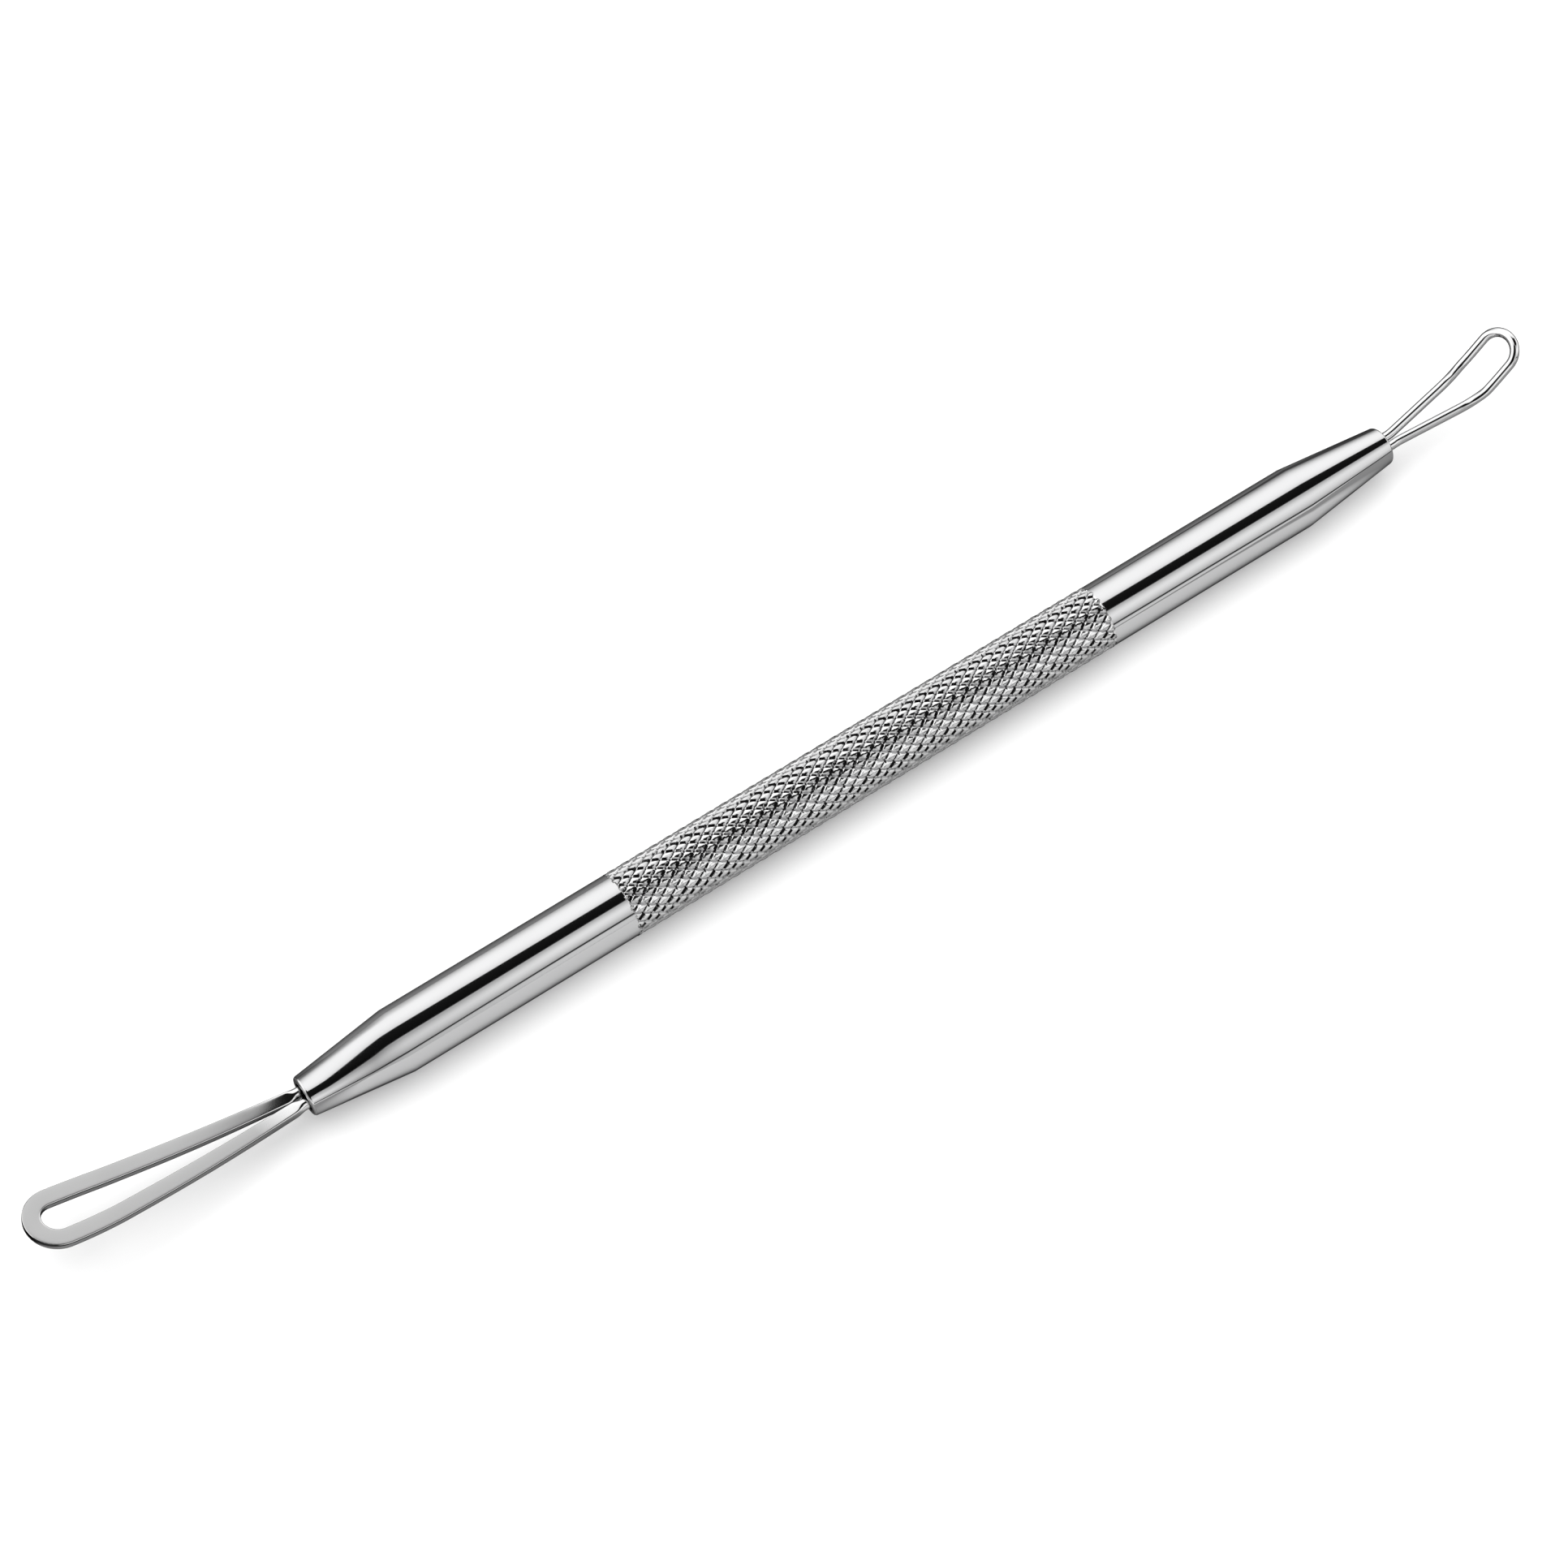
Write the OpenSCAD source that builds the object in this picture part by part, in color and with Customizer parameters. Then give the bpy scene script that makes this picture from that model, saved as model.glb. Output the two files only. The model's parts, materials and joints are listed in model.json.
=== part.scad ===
// Double-ended blackhead extractor, a hand tool for skin care.
// A diamond-knurled steel grip joins two polished sockets that taper to a round lip.
// A flattened loop is soldered into one socket and a round wire loop into the other.
// Millimetres. X runs along the handle from the flat loop to the wire loop and Z is up.
// The origin lies on the table, under the middle of the whole length.

/* [Handle] */
// Diameter of the smooth part of both sockets
handle_d = 4.8; // [4.4:0.1:6.5]
// Smooth length of the socket that holds the flat loop
flat_barrel_len = 18.1; // [12:0.1:26]
// Tapered length of the socket that holds the flat loop
flat_taper_len = 7.3; // [4:0.1:12]
// Smooth length of the socket that holds the wire loop
wire_barrel_len = 18.1; // [12:0.1:26]
// Tapered length of the socket that holds the wire loop
wire_taper_len = 8.3; // [4:0.1:12]
// Diameter at the small end of each taper
lip_d = 2.96; // [2.7:0.02:3.6]
// Radius that rounds the outer edge of the lip
lip_edge_r = 0.2; // [0.05:0.01:0.3]
// Chamfer on the edge of each socket next to the knurl
border_chamfer = 0.1; // [0.05:0.01:0.25]

/* [Knurl] */
// Length of the knurled grip between the two sockets
grip_len = 40.9; // [25:0.1:60]
// Diameter over the points of the knurl
knurl_crest_d = 4.86; // [4.6:0.02:6.6]
// Depth of the knurling grooves
knurl_depth = 0.2; // [0.1:0.01:0.4]
// Number of diamonds round the grip
knurl_count = 19; // [14:1:26]
// Angle between each groove and the handle
knurl_angle = 34.5; // [25:0.5:45]

/* [Tenons between grip and sockets] */
// Diameter of the tenon at each end of the grip
tenon_d = 2.8; // [2:0.1:3.4]
// Length of the tenon at each end of the grip
tenon_len = 6; // [3:0.1:8]
// Free depth left behind the tenon in its bore
tenon_end_gap = 0.3; // [0.1:0.1:1]

/* [Loop bores and solder] */
// Bore that takes the two legs of the flat loop
flat_bore_d = 1.98; // [1.9:0.01:2.2]
// Bore that takes the two legs of the wire loop
wire_bore_d = 1.76; // [1.72:0.01:2]
// Length of the loops' legs inside their bores
leg_seat = 6.5; // [4:0.1:9]
// Depth of the solder below the lip
solder_recess = 1.2; // [0.4:0.1:2.5]
// Free depth left behind the legs before the drill point
bore_end_gap = 0.5; // [0.2:0.1:1.5]
// Angle of the drill point at the bottom of the bores
drill_point = 118; // [90:1:140]
// Chamfer at the mouth of the bores
mouth_chamfer = 0.08; // [0.04:0.01:0.15]
// Clearance between pieces that seat in one another
seat_gap = 0.02; // [0.01:0.005:0.03]
// Space between the two legs of a loop inside its bore
leg_gap = 0.1; // [0.08:0.01:0.14]

/* [Flat loop] */
// Diameter of the wire that the flat loop is forged from
flat_wire_d = 0.84; // [0.7:0.01:0.86]
// Length of the loop from the lip to its outer tip, along the strip
flat_loop_len = 20.35; // [16:0.05:30]
// Widest outer width of the loop
flat_loop_w = 4.45; // [3.6:0.05:6]
// Width of the flattened strip on the legs
flat_leg_w = 1.15; // [0.9:0.01:1.3]
// Width of the flattened strip round the tip
flat_tip_w = 1.25; // [0.9:0.01:1.6]
// Thickness of the flattened strip
flat_strip_t = 0.62; // [0.4:0.01:0.8]
// Distance from the lip to where the strip begins to flatten
flatten_start = 0.2; // [0.2:0.1:2]
// Distance over which the round wire becomes the flat strip
flatten_len = 3; // [1:0.1:5]
// Distance over which flat faces form on the round wire
squaring_len = 0.8; // [0.5:0.1:3]
// Twist of the rear leg beside the lip
flat_leg_twist = 12; // [0:1:15]
// Distance from the lip at which the twist has run out
flat_twist_len = 6; // [3:0.5:10]
// Distance from the lip to where the legs begin to part
flat_neck = 0.3; // [0.2:0.1:2]
// Radius of the bend where the legs part
flat_neck_r = 12; // [4:1:20]
// Radius of the long bow that each leg follows up to the tip
flat_bow_r = 53; // [45:1:200]
// Upward tilt at which the loop leaves the lip
flat_tilt_angle = 4; // [1:0.5:15]
// Angle that the loop curves upwards between there and its tip
flat_rise_angle = 7; // [1:0.5:30]
// Distance from the lip to where the upward curve begins
flat_rise_start = 1.5; // [1.2:0.1:4]
// Sideways set of the tip
flat_lean = 0.7; // [0:0.1:1]

/* [Wire loop] */
// Diameter of the round wire
wire_d = 0.73; // [0.6:0.01:0.77]
// Length of the loop from the lip to its outer tip, along the wire
wire_loop_len = 13.15; // [12:0.05:20]
// Widest outer width of the loop
wire_loop_w = 3.65; // [3:0.05:5]
// Distance from the lip to where the legs begin to part
wire_neck = 0.9; // [0.3:0.05:1.5]
// Radius of the bend where the legs part
wire_neck_r = 4; // [2:0.5:8]
// Distance from the lip to where the legs run parallel
wire_shoulder = 9; // [7:0.1:9.8]
// Radius of the shoulder where the legs turn parallel
wire_shoulder_r = 5; // [2:0.5:8]
// Upward tilt at which the loop leaves the lip
wire_tilt_angle = 9; // [1:0.5:15]
// Angle that the tip is bent further upwards
wire_rise_angle = 38.5; // [10:0.5:50]
// Distance from the lip to where the upward bend begins
wire_rise_start = 6.5; // [3:0.1:8]
// Length of wire in the upward bend
wire_rise_len = 3.2; // [1:0.1:4]

/* [Hidden] */

$fn = 64;
overcut = 0.5;
steel = [0.80, 0.80, 0.82];
bright_steel = [0.88, 0.88, 0.90];
solder = [0.62, 0.62, 0.62];

// The wire's section is drawn with this many points
section_points = 20;
// How square the flattened strip's section is: 1 is an ellipse and 0 a rectangle
strip_roundness = 0.28;

// The handle's places along X, first measured from the middle of the grip
grip_half = grip_len / 2;
flat_lip_x = -(grip_half + flat_barrel_len + flat_taper_len);
wire_lip_x = grip_half + wire_barrel_len + wire_taper_len;

// Half distance between a loop's legs in its bore
flat_leg_offset = (flat_wire_d + leg_gap) / 2;
wire_leg_offset = (wire_d + leg_gap) / 2;
// Radius of each loop's tip along the middle of the wire, and its centre's distance from the lip
flat_tip_r = (flat_loop_w - flat_tip_w) / 2;
wire_tip_r = (wire_loop_w - wire_d) / 2;
flat_tip_centre = flat_loop_len - flat_loop_w / 2;
wire_tip_centre = wire_loop_len - wire_loop_w / 2;
// The flat loop curves upwards from its start to the middle of its tip
flat_rise_len = flat_tip_centre - flat_rise_start;
// Both loops tilt upwards over a short stretch outside the lip
tilt_start = 0.2;
tilt_len = 1;
// The upward bends of each loop, each [start, length, angle]
flat_bends = [[tilt_start, tilt_len, flat_tilt_angle],
              [flat_rise_start, flat_rise_len, flat_rise_angle]];
wire_bends = [[tilt_start, tilt_len, wire_tilt_angle],
              [wire_rise_start, wire_rise_len, wire_rise_angle]];

// The whole tool is moved so that the origin is under its middle and the knurl rests on Z = 0
flat_reach = sheet(flat_loop_len, flat_bends)[0];
wire_reach = sheet(wire_loop_len, wire_bends)[0];
row_shift = (flat_reach - flat_lip_x - wire_reach - wire_lip_x) / 2;
rest_height = max(handle_d, knurl_crest_d) / 2;

// A loop lies on a sheet that leaves the lip straight and runs straight between its bends.
// For a distance along the sheet this gives the distance forwards, the height and the slope.
// The place reached so far, and its distance along the sheet, are handed from bend to bend.
function sheet(along, bends, k = 0, place = [0, 0, 0], done = 0) =
    let (ahead = [cos(place[2]), sin(place[2]), 0])
    k == len(bends) || along <= bends[k][0]
        ? place + (along - done) * ahead
        : let (start = place + (bends[k][0] - done) * ahead,
               bent = min(along - bends[k][0], bends[k][1]),
               bend_r = bends[k][1] / (bends[k][2] * PI / 180),
               slope = start[2] + bends[k][2] * bent / bends[k][1],
               turned = [sin(slope) - sin(start[2]), cos(start[2]) - cos(slope), 0],
               end = [start[0], start[1], slope] + bend_r * turned)
          sheet(along, bends, k + 1, end, bends[k][0] + bent);

// Smooth change from 0 to 1 between two distances
function blend(along, start, length) =
    let (t = min(max((along - start) / length, 0), 1)) t * t * (3 - 2 * t);

// Stations on an arc, each [distance along the sheet, side distance, heading]
function arc_stations(centre, radius, from, to, steps) =
    [for (i = [1 : steps])
        let (heading = from + (to - from) * i / steps)
        [centre[0] - radius * sin(heading), centre[1] + radius * cos(heading), heading]];

// One leg of a loop on the flat sheet, from its end in the bore to the middle of the tip.
// The leg leaves the bore straight, parts at the neck, turns parallel at the shoulder
// and follows a quarter of the tip's circle. The straight between neck and shoulder is
// the inner tangent of their two circles.
function leg_stations(offset, neck, neck_r, shoulder, shoulder_r, tip_centre, tip_r, leg_steps) =
    let (neck_c = [neck, offset + neck_r],
         shoulder_c = [shoulder, tip_r - shoulder_r],
         between = shoulder_c - neck_c,
         spread = atan2(between[1], between[0]) + asin((neck_r + shoulder_r) / norm(between)),
         leg_from = neck_c + neck_r * [sin(spread), -cos(spread)],
         leg_to = shoulder_c + shoulder_r * [-sin(spread), cos(spread)],
         straight = shoulder < tip_centre - 0.01)
    concat(
        [[-leg_seat, offset, 0], [0, offset, 0], [neck, offset, 0]],
        arc_stations(neck_c, -neck_r, 0, spread, 6),
        [for (i = [1 : leg_steps])
            let (p = leg_from + (leg_to - leg_from) * i / leg_steps)
            [p[0], p[1], spread]],
        arc_stations(shoulder_c, shoulder_r, spread, 0, shoulder_r > 20 ? 12 : 4),
        straight ? [for (i = [1 : 3]) [shoulder + (tip_centre - shoulder) * i / 3, tip_r, 0]] : [],
        arc_stations([tip_centre, 0], tip_r, 0, -90, 12));

// Both legs of a loop in one run: the second leg is the first one mirrored and walked back
function loop_stations(leg) =
    concat(leg, [for (i = [len(leg) - 2 : -1 : 0]) [leg[i][0], -leg[i][1], 180 - leg[i][2]]]);

// The wire's section at one station: its points lie across the run, on the bent sheet,
// and a twist turns them about the run
function section(station, place, half_w, half_t, roundness, twist = 0) =
    let (level = [-sin(station[2]) * cos(place[2]), cos(station[2]), -sin(station[2]) * sin(place[2])],
         upright = [-sin(place[2]), 0, cos(place[2])],
         across = level * cos(twist) + upright * sin(twist),
         up = upright * cos(twist) - level * sin(twist))
    [for (k = [0 : section_points - 1])
        let (t = 360 * k / section_points,
             w = half_w * sign(cos(t)) * pow(abs(cos(t)), roundness),
             h = half_t * sign(sin(t)) * pow(abs(sin(t)), roundness))
        [place[0], station[1], place[1]] + w * across + h * up];

// Closed solid through a row of rings with the same number of points.
// Crossed skins change the diagonal of every other quad, so that each diamond gets a point.
module skin(rings, crossed = false) {
    n = len(rings);
    m = len(rings[0]);
    sides = [for (i = [0 : n - 2], k = [0 : m - 1])
        let (a = i * m + k,
             b = i * m + (k + 1) % m,
             c = a + m,
             d = b + m)
        each (crossed && (i + k) % 2 == 0) ? [[a, c, b], [b, c, d]] : [[a, d, b], [a, c, d]]];
    caps = [[for (k = [0 : m - 1]) k], [for (k = [m - 1 : -1 : 0]) (n - 1) * m + k]];
    polyhedron(points = [for (ring = rings) each ring], faces = concat(sides, caps), convexity = 10);
}

// Moves a piece from the middle of the grip to the row's frame
module in_row() {
    translate([row_shift, 0, rest_height]) children();
}

// Cylinder along X
module rod(x, length, d) {
    translate([x, 0, 0]) rotate([0, 90, 0]) cylinder(h = length, d = d);
}

// Two-way knurled bar. Points and groove crossings alternate along and round the bar,
// and the grooves between them run both ways at the knurling angle.
module knurl() {
    rows = 2 * round(grip_len * tan(knurl_angle) * knurl_count / (PI * knurl_crest_d));
    crest_r = knurl_crest_d / 2;
    rings = [for (i = [0 : rows])
        [for (k = [0 : 2 * knurl_count - 1])
            let (r = (i + k) % 2 == 0 ? crest_r : crest_r - knurl_depth,
                 t = -90 + 180 * k / knurl_count)
            [grip_len * (i / rows - 0.5), r * cos(t), r * sin(t)]]];
    skin(rings, crossed = true);
}

module knurled_grip() {
    color(steel) in_row() union() {
        knurl();
        rod(-grip_half - tenon_len, grip_len + 2 * tenon_len, tenon_d);
    }
}

// A socket drawn from its lip at X = 0 back to the knurl. The lip's edge is a true round:
// its circle touches the front face and the taper.
module socket(barrel_len, taper_len, bore_d) {
    slope = atan((handle_d - lip_d) / 2 / taper_len);
    edge_y = lip_d / 2 + lip_edge_r * tan(slope) - lip_edge_r / cos(slope);
    back = taper_len + barrel_len;
    bore_depth = leg_seat + bore_end_gap;
    difference() {
        rotate([0, 90, 0]) rotate([0, 0, 90]) rotate_extrude() {
            polygon([
                [0, 0],
                [edge_y, 0],
                [edge_y, lip_edge_r],
                [edge_y + lip_edge_r * cos(slope), lip_edge_r - lip_edge_r * sin(slope)],
                [handle_d / 2, taper_len],
                [handle_d / 2, back - border_chamfer],
                [handle_d / 2 - border_chamfer, back],
                [0, back]]);
            translate([edge_y, lip_edge_r]) intersection() {
                circle(r = lip_edge_r);
                translate([0, -2 * lip_edge_r]) square(3 * lip_edge_r);
            }
        }
        rod(-overcut, bore_depth + overcut, bore_d);
        translate([bore_depth, 0, 0]) rotate([0, 90, 0])
            cylinder(h = bore_d / 2 / tan(drill_point / 2), d1 = bore_d, d2 = 0);
        translate([-mouth_chamfer, 0, 0]) rotate([0, 90, 0])
            cylinder(h = bore_d / 2 + 2 * mouth_chamfer, d1 = bore_d + 4 * mouth_chamfer, d2 = 0);
        rod(back - tenon_len - tenon_end_gap, tenon_len + tenon_end_gap + overcut,
            tenon_d + 2 * seat_gap);
    }
}

module flat_loop_socket() {
    color(bright_steel) in_row() translate([flat_lip_x, 0, 0])
        socket(flat_barrel_len, flat_taper_len, flat_bore_d);
}

module wire_loop_socket() {
    color(bright_steel) in_row() translate([wire_lip_x, 0, 0]) rotate([0, 0, 180])
        socket(wire_barrel_len, wire_taper_len, wire_bore_d);
}

// The flat loop is drawn outwards along +X from its lip and then turned round.
// Round wire in the bore widens and thins into a strip, which is widest round the tip.
// The rear leg, at the negative side distances, is twisted a little beside the lip.
module flat_loop() {
    leg = leg_stations(flat_leg_offset, flat_neck, flat_neck_r, flat_tip_centre, flat_bow_r,
                       flat_tip_centre, flat_tip_r, 2);
    rings = [for (st = loop_stations(leg))
        let (place = sheet(st[0], flat_bends),
             flat = blend(st[0], flatten_start, flatten_len),
             squared = blend(st[0], flatten_start, squaring_len),
             twist = st[1] > 0 ? 0 : flat_leg_twist * blend(st[0], 0, squaring_len)
                 * (1 - blend(st[0], squaring_len, flat_twist_len - squaring_len)),
             tip = blend(st[0], flat_tip_centre / 2, flat_tip_centre / 2),
             strip_w = flat_leg_w + (flat_tip_w - flat_leg_w) * tip,
             width = flat_wire_d + (strip_w - flat_wire_d) * flat,
             thickness = flat_wire_d + (flat_strip_t - flat_wire_d) * flat,
             aside = flat_lean * pow(max(st[0] - flat_rise_start, 0) / flat_rise_len, 2))
        [for (p = section(st, place, width / 2, thickness / 2,
                          1 + (strip_roundness - 1) * squared, twist))
            p - [0, aside, 0]]];
    color(bright_steel) in_row() translate([flat_lip_x, 0, 0]) rotate([0, 0, 180]) skin(rings);
}

module wire_loop() {
    leg = leg_stations(wire_leg_offset, wire_neck, wire_neck_r, wire_shoulder, wire_shoulder_r,
                       wire_tip_centre, wire_tip_r, 12);
    rings = [for (st = loop_stations(leg))
        section(st, sheet(st[0], wire_bends), wire_d / 2, wire_d / 2, 1)];
    color(bright_steel) in_row() translate([wire_lip_x, 0, 0]) skin(rings);
}

// Solder that fills a bore round the loop's two legs, drawn from the lip at X = 0
module solder_plug(bore_d, leg_d, leg_offset) {
    color(solder) difference() {
        rod(solder_recess, leg_seat - solder_recess, bore_d - 2 * seat_gap);
        for (side = [-1, 1])
            translate([0, side * leg_offset, 0])
                rod(0, leg_seat + overcut, leg_d + 2 * seat_gap);
    }
}

module flat_loop_solder() {
    in_row() translate([flat_lip_x, 0, 0])
        solder_plug(flat_bore_d, flat_wire_d, flat_leg_offset);
}

module wire_loop_solder() {
    in_row() translate([wire_lip_x, 0, 0]) rotate([0, 0, 180])
        solder_plug(wire_bore_d, wire_d, wire_leg_offset);
}

knurled_grip();
flat_loop_socket();
wire_loop_socket();
flat_loop();
wire_loop();
flat_loop_solder();
wire_loop_solder();
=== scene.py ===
import json
import math

import bmesh
import bpy
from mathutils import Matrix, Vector

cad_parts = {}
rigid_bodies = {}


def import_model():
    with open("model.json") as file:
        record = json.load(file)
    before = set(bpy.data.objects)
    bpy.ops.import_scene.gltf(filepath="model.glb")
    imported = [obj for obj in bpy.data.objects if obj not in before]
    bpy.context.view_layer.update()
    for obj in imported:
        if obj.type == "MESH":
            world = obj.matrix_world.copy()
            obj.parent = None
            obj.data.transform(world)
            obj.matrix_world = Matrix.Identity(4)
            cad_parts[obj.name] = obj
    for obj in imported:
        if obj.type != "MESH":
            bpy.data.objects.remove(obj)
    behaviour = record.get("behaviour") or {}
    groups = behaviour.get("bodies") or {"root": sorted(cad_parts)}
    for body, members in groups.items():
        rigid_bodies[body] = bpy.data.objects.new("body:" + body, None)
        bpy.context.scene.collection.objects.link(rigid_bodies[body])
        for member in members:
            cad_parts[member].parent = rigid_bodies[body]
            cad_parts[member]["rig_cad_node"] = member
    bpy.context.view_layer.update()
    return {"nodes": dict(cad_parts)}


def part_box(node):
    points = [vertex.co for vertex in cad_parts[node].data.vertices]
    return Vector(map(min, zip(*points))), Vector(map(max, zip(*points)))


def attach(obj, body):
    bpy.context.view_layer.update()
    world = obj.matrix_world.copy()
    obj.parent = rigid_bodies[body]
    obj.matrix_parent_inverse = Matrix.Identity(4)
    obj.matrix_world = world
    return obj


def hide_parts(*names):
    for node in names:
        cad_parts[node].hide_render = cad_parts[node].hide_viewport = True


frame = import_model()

# Camera. The photograph looks down on the tool from the front left, with a short
# telephoto lens close to it, so the near end of the handle comes out thicker. It aims at
# the handle's axis, near the middle between the two borders of the knurl.
mm = 0.001
degree = math.pi / 180
grip_low, grip_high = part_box("knurled_grip")
axis_height = (grip_low.z + grip_high.z) / 2
flat_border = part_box("flat_loop_socket")[1].x
wire_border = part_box("wire_loop_socket")[0].x
azimuth, elevation = -34.72 * degree, 60.44 * degree
camera_back = Vector((math.sin(azimuth) * math.cos(elevation),
                      -math.cos(azimuth) * math.cos(elevation),
                      math.sin(elevation)))
camera_right = Vector((math.cos(azimuth), math.sin(azimuth), 0))
camera_up = camera_back.cross(camera_right)
aim = Vector(((flat_border + wire_border) / 2 - 0.45 * mm, 0, axis_height))
distance, moved_left, moved_down = 260.1 * mm, 5.23 * mm, 1.57 * mm
bpy.ops.object.camera_add()
camera = bpy.context.object
camera.name = "camera"
camera.data.lens = 85
camera.data.sensor_width = 36
camera.data.clip_start = 10 * mm
camera.data.clip_end = 100
camera.location = (aim + camera_back * distance
                   - camera_right * moved_left - camera_up * moved_down)
camera.rotation_euler = (-camera_back).to_track_quat("-Z", "Y").to_euler()
bpy.context.scene.camera = camera
bpy.context.scene.view_settings.view_transform = "Standard"


# Light tent. The tool lies on a white table in a tent of white cloth. The cloth glows
# brightest behind the handle and softly in front of it, and an unlit slot runs overhead
# along the handle, through which the camera looks in.
class Socket:
    """A shader node's output that takes part in sums, or a node tree to start from."""

    def __init__(self, tree, output=None):
        self.tree = tree
        self.output = output

    def node(self, kind, settings, values, take=0):
        """A new node, its settings, the values or links of its inputs, and one output."""
        made = self.tree.nodes.new(kind)
        for name, setting in settings.items():
            if name == "stops":
                elements = made.color_ramp.elements
                while len(elements) < len(setting):
                    elements.new(1)
                for element, (place, shade) in zip(elements, setting):
                    element.position = place
                    element.color = grey(shade)
            else:
                setattr(made, name, setting)
        for name, value in values.items():
            if isinstance(value, Socket):
                self.tree.links.new(value.output, made.inputs[name])
            else:
                made.inputs[name].default_value = value
        return Socket(self.tree, made.outputs[take] if made.outputs else None)

    def math(self, operation, *values):
        return self.node("ShaderNodeMath", {"operation": operation}, dict(enumerate(values)))

    def xyz(self):
        return [self.node("ShaderNodeSeparateXYZ", {}, {0: self}, axis) for axis in "XYZ"]

    def ramp(self, low, high):
        """0 up to low and 1 from high on, or the other way round when low is above high."""
        risen = (self - low) * (1 / (high - low))
        return self.math("MINIMUM", self.math("MAXIMUM", risen, 0.0), 1.0)

    def mix(self, first, second):
        """The first colour where this share is 0, and the second where it is 1."""
        return self.node("ShaderNodeMix", {"data_type": "RGBA"},
                         {"Factor": self, "A": first, "B": second}, "Result")

    def __abs__(self):
        return self.math("ABSOLUTE", self)

    def __add__(self, other):
        return self.math("ADD", self, other)

    def __radd__(self, other):
        return self.math("ADD", other, self)

    def __sub__(self, other):
        return self.math("SUBTRACT", self, other)

    def __rsub__(self, other):
        return self.math("SUBTRACT", other, self)

    def __mul__(self, other):
        return self.math("MULTIPLY", self, other)

    def __rmul__(self, other):
        return self.math("MULTIPLY", other, self)

    def __truediv__(self, other):
        return self.math("DIVIDE", self, other)


def grey(shade, blue=0.0):
    return shade, shade, shade + blue, 1


def cleared(holder):
    """The emptied node tree of a world or a material."""
    holder.use_nodes = True
    holder.node_tree.nodes.clear()
    return Socket(holder.node_tree)


tent_peak = 1.154
# Brightness of the cloth against its peak, by its angle from overhead in degrees: from the
# table's far side at -90, over the unlit slot and a dark seam, to the near side at 90
tent_cloth = [(-180, 0.25), (-95, 0.25), (-88, 0.42), (-83, 0.58), (-76, 0.75), (-68, 0.89),
              (-61, 0.97), (-50, 1.00), (-35, 0.99), (-25, 0.92), (-17.5, 0.81), (-13.4, 0.74),
              (-12.6, 0.008), (18.0, 0.004), (19.4, 0.42), (25, 0.53), (30, 0.67), (36, 0.79),
              (42, 0.83), (50, 0.76), (57, 0.64), (65, 0.48), (67.5, 0.42), (68.5, 0.03),
              (73.5, 0.03), (75, 0.60), (90, 0.60), (180, 0.40)]
slot_middle = 2.7 * degree
wall_tone = 0.85
dimming = 0.45
world = bpy.data.worlds.new("light_tent")
bpy.context.scene.world = world
tent = cleared(world)
along, across, up = tent.node("ShaderNodeTexCoord", {}, {}, "Generated").xyz()
angle = tent.math("ARCTAN2", across * -1.0, up)

# Square across the tool the cloth's pattern is a little wider, and at the far left more so
square_across = abs(along).ramp(0.2, 0.0)
over_tool = angle.ramp(-60 * degree, -30 * degree) * angle.ramp(75 * degree, 45 * degree)
width = square_across * over_tool * 0.3 + along.ramp(-0.2, -0.33) * 0.7 + 1.0
# At the tool's left the pattern swings far forwards, and at its right a little
swing = (along.ramp(0.05, -0.16) * angle.ramp(85 * degree, 55 * degree) * (24 * degree)
         + along.ramp(0.25, 0.4) * (7 * degree))
# The dark seam hangs lower, apart from a stretch to the right of the middle
drop = (angle.ramp(50 * degree, 70 * degree) * abs(along - 0.3).ramp(0.12, 0.3)
        * (10 * degree))
on_cloth = (angle - swing - slot_middle) / width + slot_middle - drop
cloth = tent.node("ShaderNodeValToRGB",
                  {"stops": [(0.5 + degrees / 360, shade) for degrees, shade in tent_cloth]},
                  {0: on_cloth / (2 * math.pi) + 0.5})
# Square across the tool the cloth is dimmer in front, and low down at the back
dim = (square_across * angle.ramp(17 * degree, 26 * degree)
       + abs(along).ramp(0.15, 0.08) * angle.ramp(-62 * degree, -76 * degree)) * dimming
# A plain white wall closes the tent at the tool's right end. The camera sees plain white.
right_wall = along.ramp(0.72, 0.85)
inside = cloth * (1 - dim) * (1 - right_wall) + right_wall * wall_tone
seen = tent.node("ShaderNodeLightPath", {}, {}, "Is Camera Ray")
glow = tent.node("ShaderNodeBackground", {},
                 {"Color": grey(1), "Strength": inside * tent_peak * (1 - seen) + seen})
tent.node("ShaderNodeOutputWorld", {}, {"Surface": glow})

# White table. A wide soft lamp overhead draws the tool's shadow close under it. In the steel's
# reflections the table is painted darker than the camera sees it. This painted shade is darker
# beyond the handle's ends, and darkest from under the handle backwards. Far from the tool the
# table fades into the white room.
lamp_height, lamp_width, lamp_power = 0.8, 1.2, 10.5
table_width = 6
table_white = 0.655
near_lift = 0.20
fade_from, fade_to = 0.25, 0.60
flat_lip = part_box("flat_loop_socket")[0].x
wire_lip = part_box("wire_loop_socket")[1].x
bpy.ops.object.light_add(type="AREA", location=(0, 0, lamp_height))
lamp = bpy.context.object
lamp.name = "table_lamp"
lamp.data.shape = "SQUARE"
lamp.data.size = lamp_width
lamp.data.energy = lamp_power
lamp.visible_glossy = False
bpy.ops.object.select_all(action="DESELECT")
bpy.ops.mesh.primitive_plane_add(size=table_width, location=(0, 0, -0.01 * mm))
table = bpy.context.object
table.name = "table"
table_paint = bpy.data.materials.new("white_table")
paint = cleared(table_paint)
place = paint.node("ShaderNodeTexCoord", {}, {}, "Object")
along, across = place.xyz()[:2]
# Painted shade in the steel's reflections of the table: darker beyond the handle's ends, and
# darkest from under the handle backwards
beside_handle = (along.ramp(flat_lip - 1 * mm, flat_lip + 3 * mm)
                 * along.ramp(wire_lip + 1 * mm, wire_lip - 3 * mm))
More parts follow.
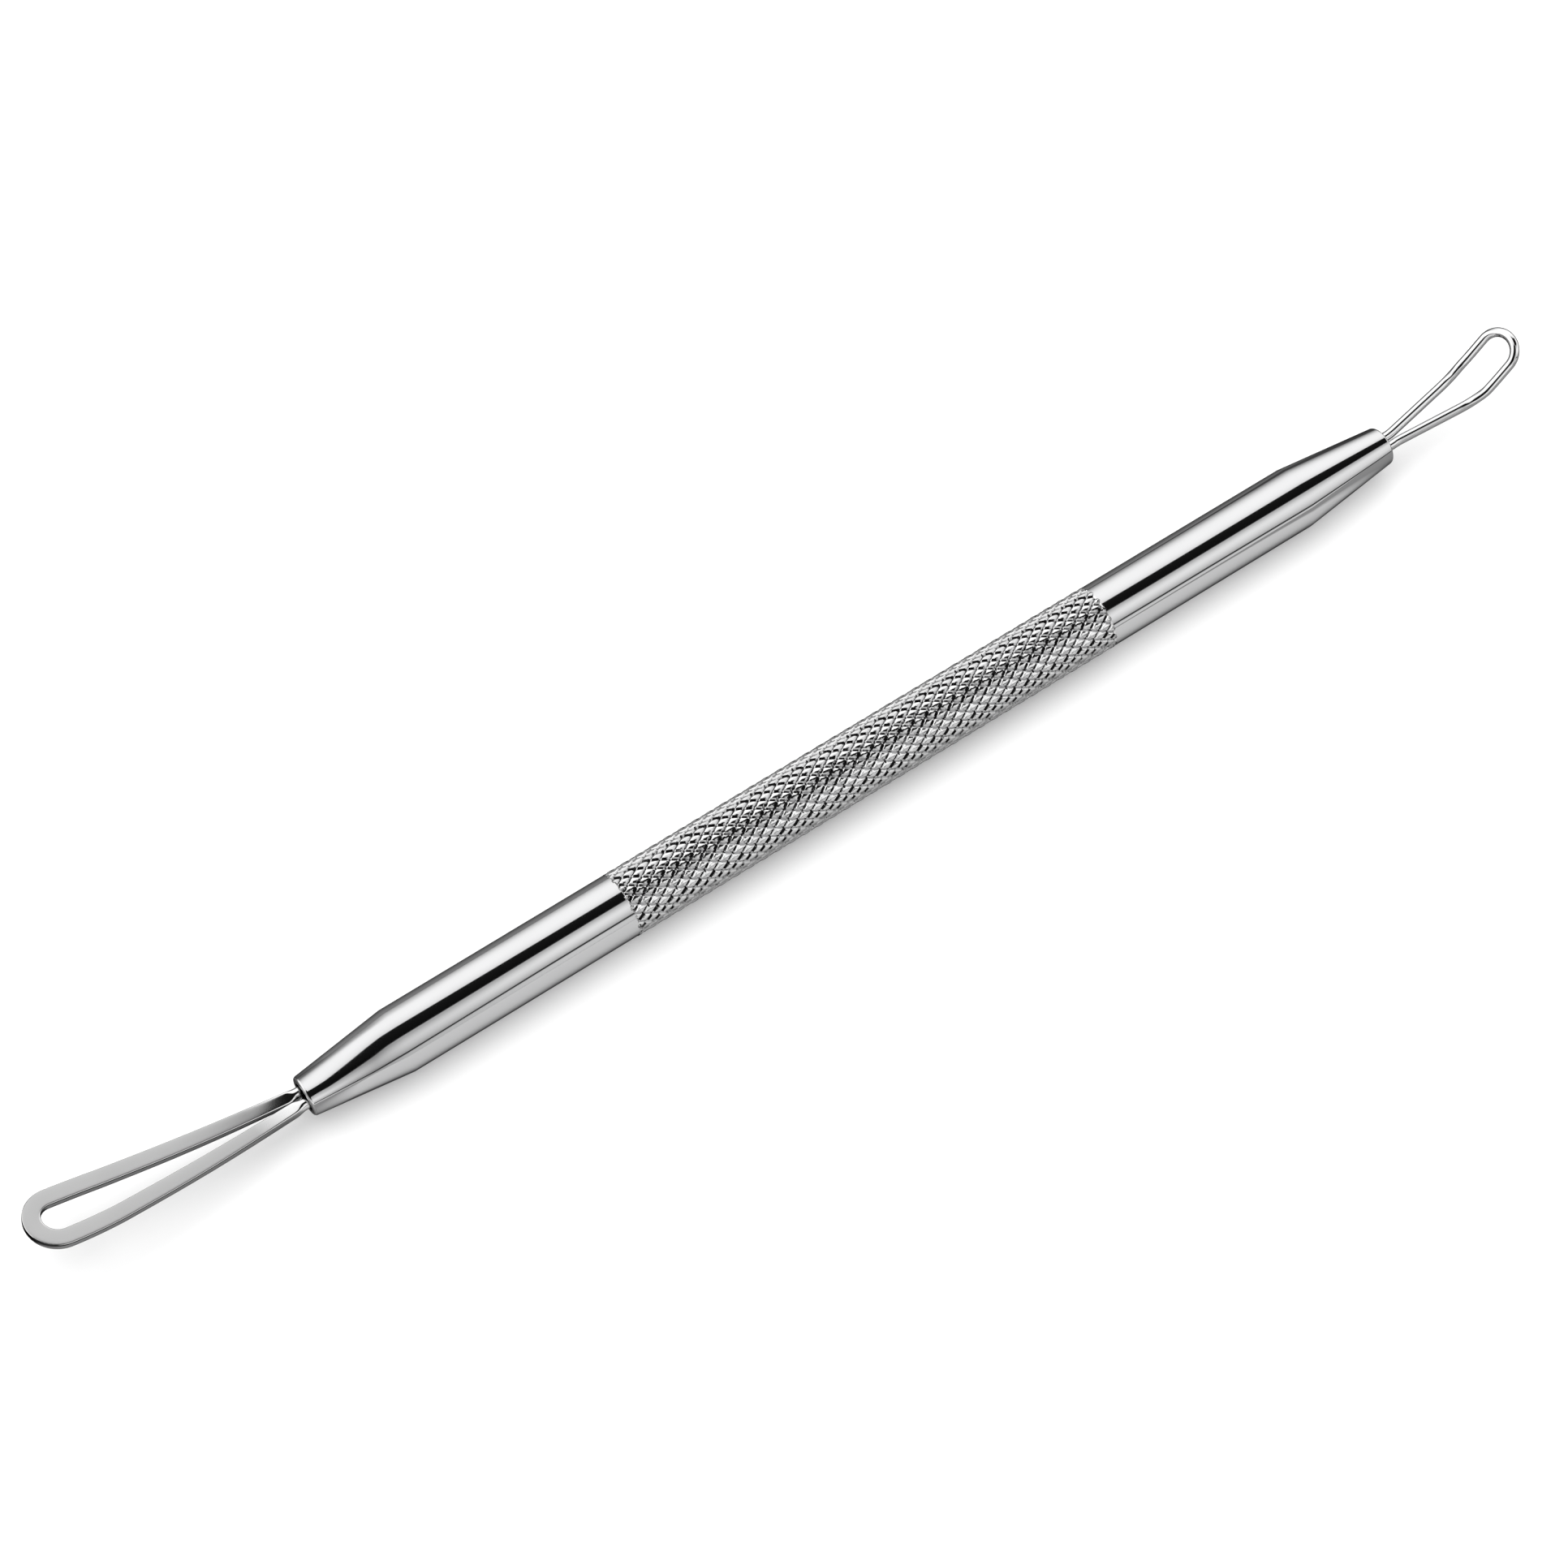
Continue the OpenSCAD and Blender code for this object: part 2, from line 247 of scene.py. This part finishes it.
behind = (across + beside_handle * (2.55 * mm)).ramp(-0.35 * mm, 0.35 * mm)
front_mirrored_shade = 0.19 + 0.245 * beside_handle
rear_mirrored_shade = 0.05 + 0.12 * beside_handle
mirrored_with_shade = front_mirrored_shade + (rear_mirrored_shade - front_mirrored_shade) * behind
seen = paint.node("ShaderNodeLightPath", {}, {}, "Is Camera Ray")
matt = paint.node("ShaderNodeBsdfDiffuse", {}, {"Color": seen.mix(mirrored_with_shade, grey(table_white))})
away = paint.node("ShaderNodeVectorMath", {"operation": "LENGTH"}, {0: place}, "Value")
lift = seen * (near_lift + (1 - near_lift) * away.ramp(fade_from, fade_to))
white = paint.node("ShaderNodeEmission", {}, {"Color": grey(1), "Strength": lift})
both = paint.node("ShaderNodeAddShader", {}, {0: matt, 1: white})
paint.node("ShaderNodeOutputMaterial", {}, {"Surface": both})
table.data.materials.append(table_paint)

# Knurled grip. A steel bar with a diamond knurl rolled into it by two wheels, so that
# small pads stand between grooves that cross at 34.5 degrees to the handle. A plain tenon
# at each end goes into a socket.
crest_r = (grip_high.z - grip_low.z) / 2
grip_len = wire_border - flat_border
groove_depth = 0.18 * mm
groove_slope = math.tan(34.5 * degree)
pads_round = 19
pads_long = round(grip_len * groove_slope * pads_round / (2 * math.pi * crest_r))
pad_long = grip_len / (2 * pads_long)
pad_turn = math.pi / pads_round
groove_r = crest_r - groove_depth
pad_wide = groove_r * math.sin(pad_turn)
# The even grid's lines and their places on the dome, and how much of the groove's depth
# the dome rises inside each line
dome_lines = (2 / 3, 0.62), (1 / 3, 0.33)
dome_rises = (0.9, 0.78), (0.5, 0.16), (0.1, 0.06)
unevenness = 0.009 * mm
tenon_r, tenon_len, tenon_bevel = 1.4 * mm, 6 * mm, 0.2 * mm


def select_only(piece):
    bpy.ops.object.select_all(action="DESELECT")
    piece.select_set(True)
    bpy.context.view_layer.objects.active = piece


def edit(piece, kind):
    select_only(piece)
    bpy.ops.object.mode_set(mode="EDIT")
    bpy.ops.mesh.select_mode(type=kind)
    bpy.ops.mesh.select_all(action="DESELECT")


def pick(piece, kind, test):
    """Selects the faces, edges or vertices of the piece in edit mode that pass the test."""
    mesh = bmesh.from_edit_mesh(piece.data)
    for group in (mesh.faces, mesh.edges, mesh.verts):
        for element in group:
            element.select_set(False)
    for element in getattr(mesh, kind):
        if test(element):
            element.select_set(True)
    mesh.select_flush_mode()
    bmesh.update_edit_mesh(piece.data)


def apply_all(piece):
    select_only(piece)
    for modifier in list(piece.modifiers):
        bpy.ops.object.modifier_apply(modifier=modifier.name)


# One pad, domed in three steps from its crown down to the grooves on its four sides, and
# then bent to the bar's curve
bpy.ops.object.select_all(action="DESELECT")
bpy.ops.mesh.primitive_grid_add(x_subdivisions=6, y_subdivisions=6, size=2)
knurl = bpy.context.object
knurl.name = "knurled_bar"
edit(knurl, "VERT")
for now, later in dome_lines:
    pick(knurl, "verts", lambda vert: abs(abs(vert.co.x) - now) < 0.01)
    bpy.ops.transform.resize(value=(later / now, 1, 1), center_override=(0, 0, 0))
    pick(knurl, "verts", lambda vert: abs(abs(vert.co.y) - now) < 0.01)
    bpy.ops.transform.resize(value=(1, later / now, 1), center_override=(0, 0, 0))
for inside, rise in dome_rises:
    pick(knurl, "verts", lambda vert: max(abs(vert.co.x), abs(vert.co.y)) < inside)
    bpy.ops.transform.translate(value=(0, 0, rise * groove_depth))
bpy.ops.mesh.select_all(action="SELECT")
bpy.ops.transform.rotate(value=45 * degree, orient_axis="Z", center_override=(0, 0, 0))
bpy.ops.transform.resize(value=(pad_long / math.sqrt(2), pad_wide / math.sqrt(2), 1),
                         center_override=(0, 0, 0))
bpy.ops.object.mode_set(mode="OBJECT")
rows = sorted({round(vert.co.y / pad_wide, 3) for vert in knurl.data.vertices})
edit(knurl, "VERT")
for row in rows:
    pick(knurl, "verts", lambda vert: abs(vert.co.y / pad_wide - row) < 0.002)
    bpy.ops.transform.translate(value=(0, 0, -groove_r * (1 - math.cos(row * pad_turn))))
bpy.ops.mesh.select_all(action="SELECT")
bpy.ops.transform.translate(value=(-grip_len / 2, 0, groove_r))
bpy.ops.object.mode_set(mode="OBJECT")

# A ring of pads, a second one between them, and the pair of rings repeated along the bar
bpy.ops.object.select_all(action="DESELECT")
bpy.ops.object.empty_add()
turn = bpy.context.object
turn.rotation_euler.x = 2 * pad_turn
ring = knurl.modifiers.new("ring", "ARRAY")
ring.count = pads_round
ring.use_relative_offset = False
ring.use_object_offset = True
ring.offset_object = turn
apply_all(knurl)
bpy.data.objects.remove(turn)
bpy.ops.object.duplicate()
staggered = bpy.context.object
staggered.rotation_euler.x = pad_turn
staggered.location.x = pad_long
bpy.ops.object.transform_apply()
knurl.select_set(True)
bpy.context.view_layer.objects.active = knurl
bpy.ops.object.join()
rings = knurl.modifiers.new("rings", "ARRAY")
rings.count = pads_long + 1
rings.use_relative_offset = False
rings.use_constant_offset = True
rings.constant_offset_displace = (2 * pad_long, 0, 0)
apply_all(knurl)
edit(knurl, "VERT")
bpy.ops.mesh.select_all(action="SELECT")
bpy.ops.mesh.remove_doubles(threshold=0.004 * mm)
bpy.ops.transform.vertex_random(offset=unevenness, seed=4)
for side in (-1, 1):
    bpy.ops.mesh.select_all(action="SELECT")
    bpy.ops.mesh.bisect(plane_co=(side * grip_len / 2, 0, 0), plane_no=(side, 0, 0),
                        use_fill=True, clear_outer=True)
bpy.ops.mesh.select_all(action="SELECT")
bpy.ops.mesh.normals_make_consistent(inside=False)
bpy.ops.object.mode_set(mode="OBJECT")
bpy.ops.object.shade_smooth_by_angle(angle=24 * degree)

tenons = []
for side in (-1, 1):
    bpy.ops.object.select_all(action="DESELECT")
    bpy.ops.mesh.primitive_cylinder_add(vertices=64, radius=tenon_r, depth=tenon_len,
                                        rotation=(0, math.pi / 2, 0),
                                        location=(side * (grip_len + tenon_len) / 2, 0, 0))
    tenon = bpy.context.object
    bpy.ops.object.transform_apply()
    edit(tenon, "FACE")
    pick(tenon, "faces", lambda face: face.normal.x * side > 0.9)
    bpy.ops.mesh.bevel(offset=tenon_bevel, segments=1, affect="EDGES")
    bpy.ops.object.mode_set(mode="OBJECT")
    tenons.append(tenon)
select_only(knurl)
for tenon in tenons:
    tenon.select_set(True)
bpy.ops.object.join()
knurl.location = ((flat_border + wire_border) / 2, 0, axis_height)
bpy.ops.object.transform_apply()


def metal_start(name):
    """A new material, and the place on the piece in millimetres for its patterns."""
    made = bpy.data.materials.new(name)
    root = cleared(made)
    place = root.node("ShaderNodeTexCoord", {}, {}, "Object")
    return made, root.node("ShaderNodeVectorMath", {"operation": "SCALE"},
                           {0: place, "Scale": 1 / mm})


def noise(place, scale, detail):
    return place.node("ShaderNodeTexNoise", {},
                      {"Vector": place, "Scale": scale, "Detail": detail}, "Fac")


def metal_end(tone, edge, roughness, relief, strength, depth):
    """Bare metal of a tone, tinted by edge towards grazing angles, with a fine relief."""
    bump = tone.node("ShaderNodeBump", {},
                     {"Height": relief, "Strength": strength, "Distance": depth})
    metal = tone.node("ShaderNodeBsdfPrincipled", {},
                      {"Base Color": tone, "Metallic": 1.0, "Roughness": roughness,
                       "Specular Tint": edge, "Normal": bump})
    tone.node("ShaderNodeOutputMaterial", {}, {"Surface": metal})


cool = 0.005
knurl_steel, place = metal_start("knurled_steel")
along, across, up = place.xyz()
up = up - axis_height / mm
radius = place.math("SQRT", across * across + up * up)
deep = (crest_r / mm - radius) / (groove_depth / mm)
bar_angle = place.math("ARCTAN2", across, up) / degree
# Places between the grooves of each family: a groove lies at -1 and at 1, a ridge at 0
pads_on = (along - flat_border / mm) / (pad_long / mm)
pads_over = bar_angle / (180 / pads_round)
rise = place.math("WRAP", pads_on - pads_over, 1.0, -1.0)
fall = place.math("WRAP", pads_on + pads_over, 1.0, -1.0)
# Random noise that varies the roughness, as wear would, and breaks up the edges of the painted
# shade below
wear_and_shade_noise = noise(place, 2.5, 3.0) - 0.5
# Painted shade: dark pits along one family of grooves and where the two families cross, a
# darker floor in every groove, and a darker lower side on each pad, except on the back of the
# bar
corner = place.math("MINIMUM", abs(rise), abs(fall))
cut = place.math("MAXIMUM", abs(rise), corner * 1.12)
pit_shade = (cut + wear_and_shade_noise * 0.16).ramp(0.92, 0.9825)
groove_floor_shade = (deep * 3.0 + wear_and_shade_noise * 0.4).ramp(1.05, 2.05)
low_side_shade = ((rise - fall) + wear_and_shade_noise).ramp(0, 1 / 3) * bar_angle.ramp(38, 23)
# The low front and the back of the bar lie in the shade of the table
shade = bar_angle.ramp(-62, -84) * 0.6 + bar_angle.ramp(44, 54) * 0.85
tone = low_side_shade.mix(grey(0.97), grey(0.70, cool))
tone = groove_floor_shade.mix(tone, grey(0.62, cool))
tone = shade.mix(tone, grey(0.20))
tone = pit_shade.mix(tone, grey(0.02))
metal_end(tone, grey(0.7), 0.10 + 0.08 * wear_and_shade_noise,
          noise(place, 0.9, 2.0) + noise(place, 9.0, 2.0) * 0.06, 1.0, 0.05 * mm)
knurl.data.materials.append(knurl_steel)
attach(knurl, "root")
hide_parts("knurled_grip")

# Sockets. Two steel sleeves turned on a lathe and polished to a mirror, each with a
# taper that ends in a rounded lip. A bore in the lip takes the loop's legs, and a bore
# in the other end takes the grip's tenon.
handle_r = 2.4 * mm
lip_r = 1.48 * mm
lip_round = 0.2 * mm
mouth_chamfer = 0.08 * mm
leg_bore_len, drill_point, drill_tip = 7 * mm, 0.55 * mm, 0.08
border_edge = 0.1 * mm
tenon_gap, tenon_bore_len = 0.02 * mm, 6.4 * mm
edge_shade = grey(0.25)


def turned_socket(name, lip, border, taper_len, bore_r):
    way = 1 if border > lip else -1
    shoulder = lip + way * taper_len
    bpy.ops.object.select_all(action="DESELECT")
    bpy.ops.mesh.primitive_cylinder_add(vertices=192, radius=handle_r,
                                        depth=abs(border - shoulder),
                                        rotation=(0, math.pi / 2, 0),
                                        location=((border + shoulder) / 2, 0, 0))
    piece = bpy.context.object
    piece.name = name
    bpy.ops.object.transform_apply()
    edit(piece, "FACE")

    def end_face(x):
        pick(piece, "faces", lambda face: abs(face.calc_center_median().x - x) < 1e-7
             and abs(face.normal.x) > 0.9)

    def extrude(x, share):
        """Carries the picked face on by x, at a share of its size."""
        bpy.ops.mesh.extrude_region()
        bpy.ops.transform.translate(value=(x, 0, 0))
        bpy.ops.transform.resize(value=(1, share, share), center_override=(0, 0, 0))

    end_face(shoulder)
    extrude(-way * taper_len, lip_r / handle_r)
    bpy.ops.mesh.select_mode(type="EDGE")
    pick(piece, "edges", lambda line: all(abs(vert.co.x - lip) < 1e-7 for vert in line.verts))
    bpy.ops.mesh.bevel(offset=lip_round, segments=7, profile=0.5, affect="EDGES")
    bpy.ops.mesh.select_mode(type="FACE")
    end_face(lip)
    extrude(0, (bore_r + mouth_chamfer) / (lip_r - lip_round))
    extrude(way * mouth_chamfer, bore_r / (bore_r + mouth_chamfer))
    extrude(way * leg_bore_len, 1)
    extrude(way * drill_point, drill_tip)

    end_face(border)
    extrude(way * border_edge, (handle_r - border_edge) / handle_r)
    extrude(0, (tenon_r + tenon_gap) / (handle_r - border_edge))
    extrude(-way * tenon_bore_len, 1)
    bpy.ops.mesh.select_all(action="SELECT")
    bpy.ops.transform.translate(value=(0, 0, axis_height))
    bpy.ops.object.mode_set(mode="OBJECT")
    return piece


flat_socket = turned_socket("flat_loop_barrel", flat_lip, flat_border, 7.3 * mm, 0.99 * mm)
wire_socket = turned_socket("wire_loop_barrel", wire_lip, wire_border, 8.3 * mm, 0.88 * mm)

mirror_steel, place = metal_start("mirror_steel")
across, up = place.xyz()[1:]
up = up - axis_height / mm
turning = place.node("ShaderNodeMapping", {}, {"Vector": place, "Scale": (9.0, 0.4, 0.4)})
turned_lines = noise(turning, 1.0, 4.0)
# The lip is buffed softer than the sleeve and painted lighter, a painted light, and the bore is
# painted dark inside, a painted shade
facing = place.node("ShaderNodeTexCoord", {}, {}, "Normal")
buffed_and_painted_light = abs(facing.xyz()[0]).ramp(0.35, 0.60)
# Painted shade inside the bore
bore = place.math("SQRT", across * across + up * up).ramp(1.10, 1.02)
tone = noise(place, 0.35, 2.0).mix(grey(0.80, cool), grey(0.765, cool))
tone = buffed_and_painted_light.mix(tone, grey(0.97))
tone = bore.mix(tone, grey(0.04))
metal_end(tone, edge_shade, 0.04 + 0.04 * turned_lines + 0.25 * buffed_and_painted_light,
          turned_lines, 0.01, 0.01 * mm)
for socket, node in ((flat_socket, "flat_loop_socket"), (wire_socket, "wire_loop_socket")):
    select_only(socket)
    bpy.ops.object.shade_smooth_by_angle(angle=20 * degree)
    weighted = socket.modifiers.new("weighted", "WEIGHTED_NORMAL")
    weighted.keep_sharp = True
    apply_all(socket)
    socket.data.materials.append(mirror_steel)
    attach(socket, "root")
    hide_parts(node)

# Loops. Each is one steel wire bent into a loop, with both legs soldered into a bore.
# One is pressed into a flat strip with eased edges, and the other stays round. Their
# bends are the solids' own, with the facets merged and smoothed.
strip_steel, place = metal_start("strip_steel")
# Beyond the lip the press left rougher flat faces in a darker tone and lighter sides, and along
# the rim between them a dark line is painted as a painted reflection
facing = place.node("ShaderNodeTexCoord", {}, {}, "Normal")
level = abs(facing.xyz()[2])
strip = (flat_lip / mm - place.xyz()[0]).ramp(0.6, 4.0)
pressed = level.ramp(0.88, 0.95) * strip
# A dark line painted along the rim, a painted reflection
rim_painted_reflection = level.ramp(0.79, 0.73) * strip
side = level.ramp(0.20, 0.10) * strip
tone = pressed.mix(grey(0.95), grey(0.56))
tone = rim_painted_reflection.mix(tone, grey(0.08))
tone = side.mix(tone, grey(0.85, cool))
metal_end(tone, edge_shade, 0.06 + pressed * (0.26 + 0.06 * noise(place, 0.6, 3.0)),
          noise(place, 12.0, 4.0), 0.02, 0.01 * mm)

wire_steel, place = metal_start("wire_steel")
drawn = noise(place, 1.5, 3.0)
metal_end(drawn.mix(grey(0.95, cool), grey(0.90, cool)), grey(0), 0.04 + 0.04 * drawn,
          drawn, 0.05, 0.01 * mm)

for node, name, finish in (("flat_loop", "flat_strip_loop", strip_steel),
                           ("wire_loop", "round_wire_loop", wire_steel)):
    select_only(frame["nodes"][node])
    bpy.ops.object.duplicate()
    loop = bpy.context.object
    loop.name = name
    loop.data.materials.clear()
    del loop["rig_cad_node"]
    edit(loop, "VERT")
    bpy.ops.mesh.select_all(action="SELECT")
    bpy.ops.mesh.remove_doubles(threshold=0.0005 * mm)
    bpy.ops.mesh.tris_convert_to_quads(face_threshold=math.pi, shape_threshold=math.pi)
    bpy.ops.object.mode_set(mode="OBJECT")
    bpy.ops.object.shade_smooth()
    smooth = loop.modifiers.new("smooth", "SUBSURF")
    smooth.levels = smooth.render_levels = 2
    apply_all(loop)
    loop.data.materials.append(finish)
    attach(loop, "root")
    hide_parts(node)

# Solder. Silver solder, melted into each bore, fills it round the loop's legs and sets
# grey and uneven, a little below the lip.
silver_solder, place = metal_start("silver_solder")
cloud = noise(place, 3.0, 4.0)
metal_end(cloud.mix((0.20, 0.195, 0.19, 1), (0.08, 0.078, 0.075, 1)), grey(1),
          0.35 + 0.2 * cloud, cloud, 0.5, 0.05 * mm)
for node in ("flat_loop_solder", "wire_loop_solder"):
    frame["nodes"][node].material_slots[0].material = silver_solder
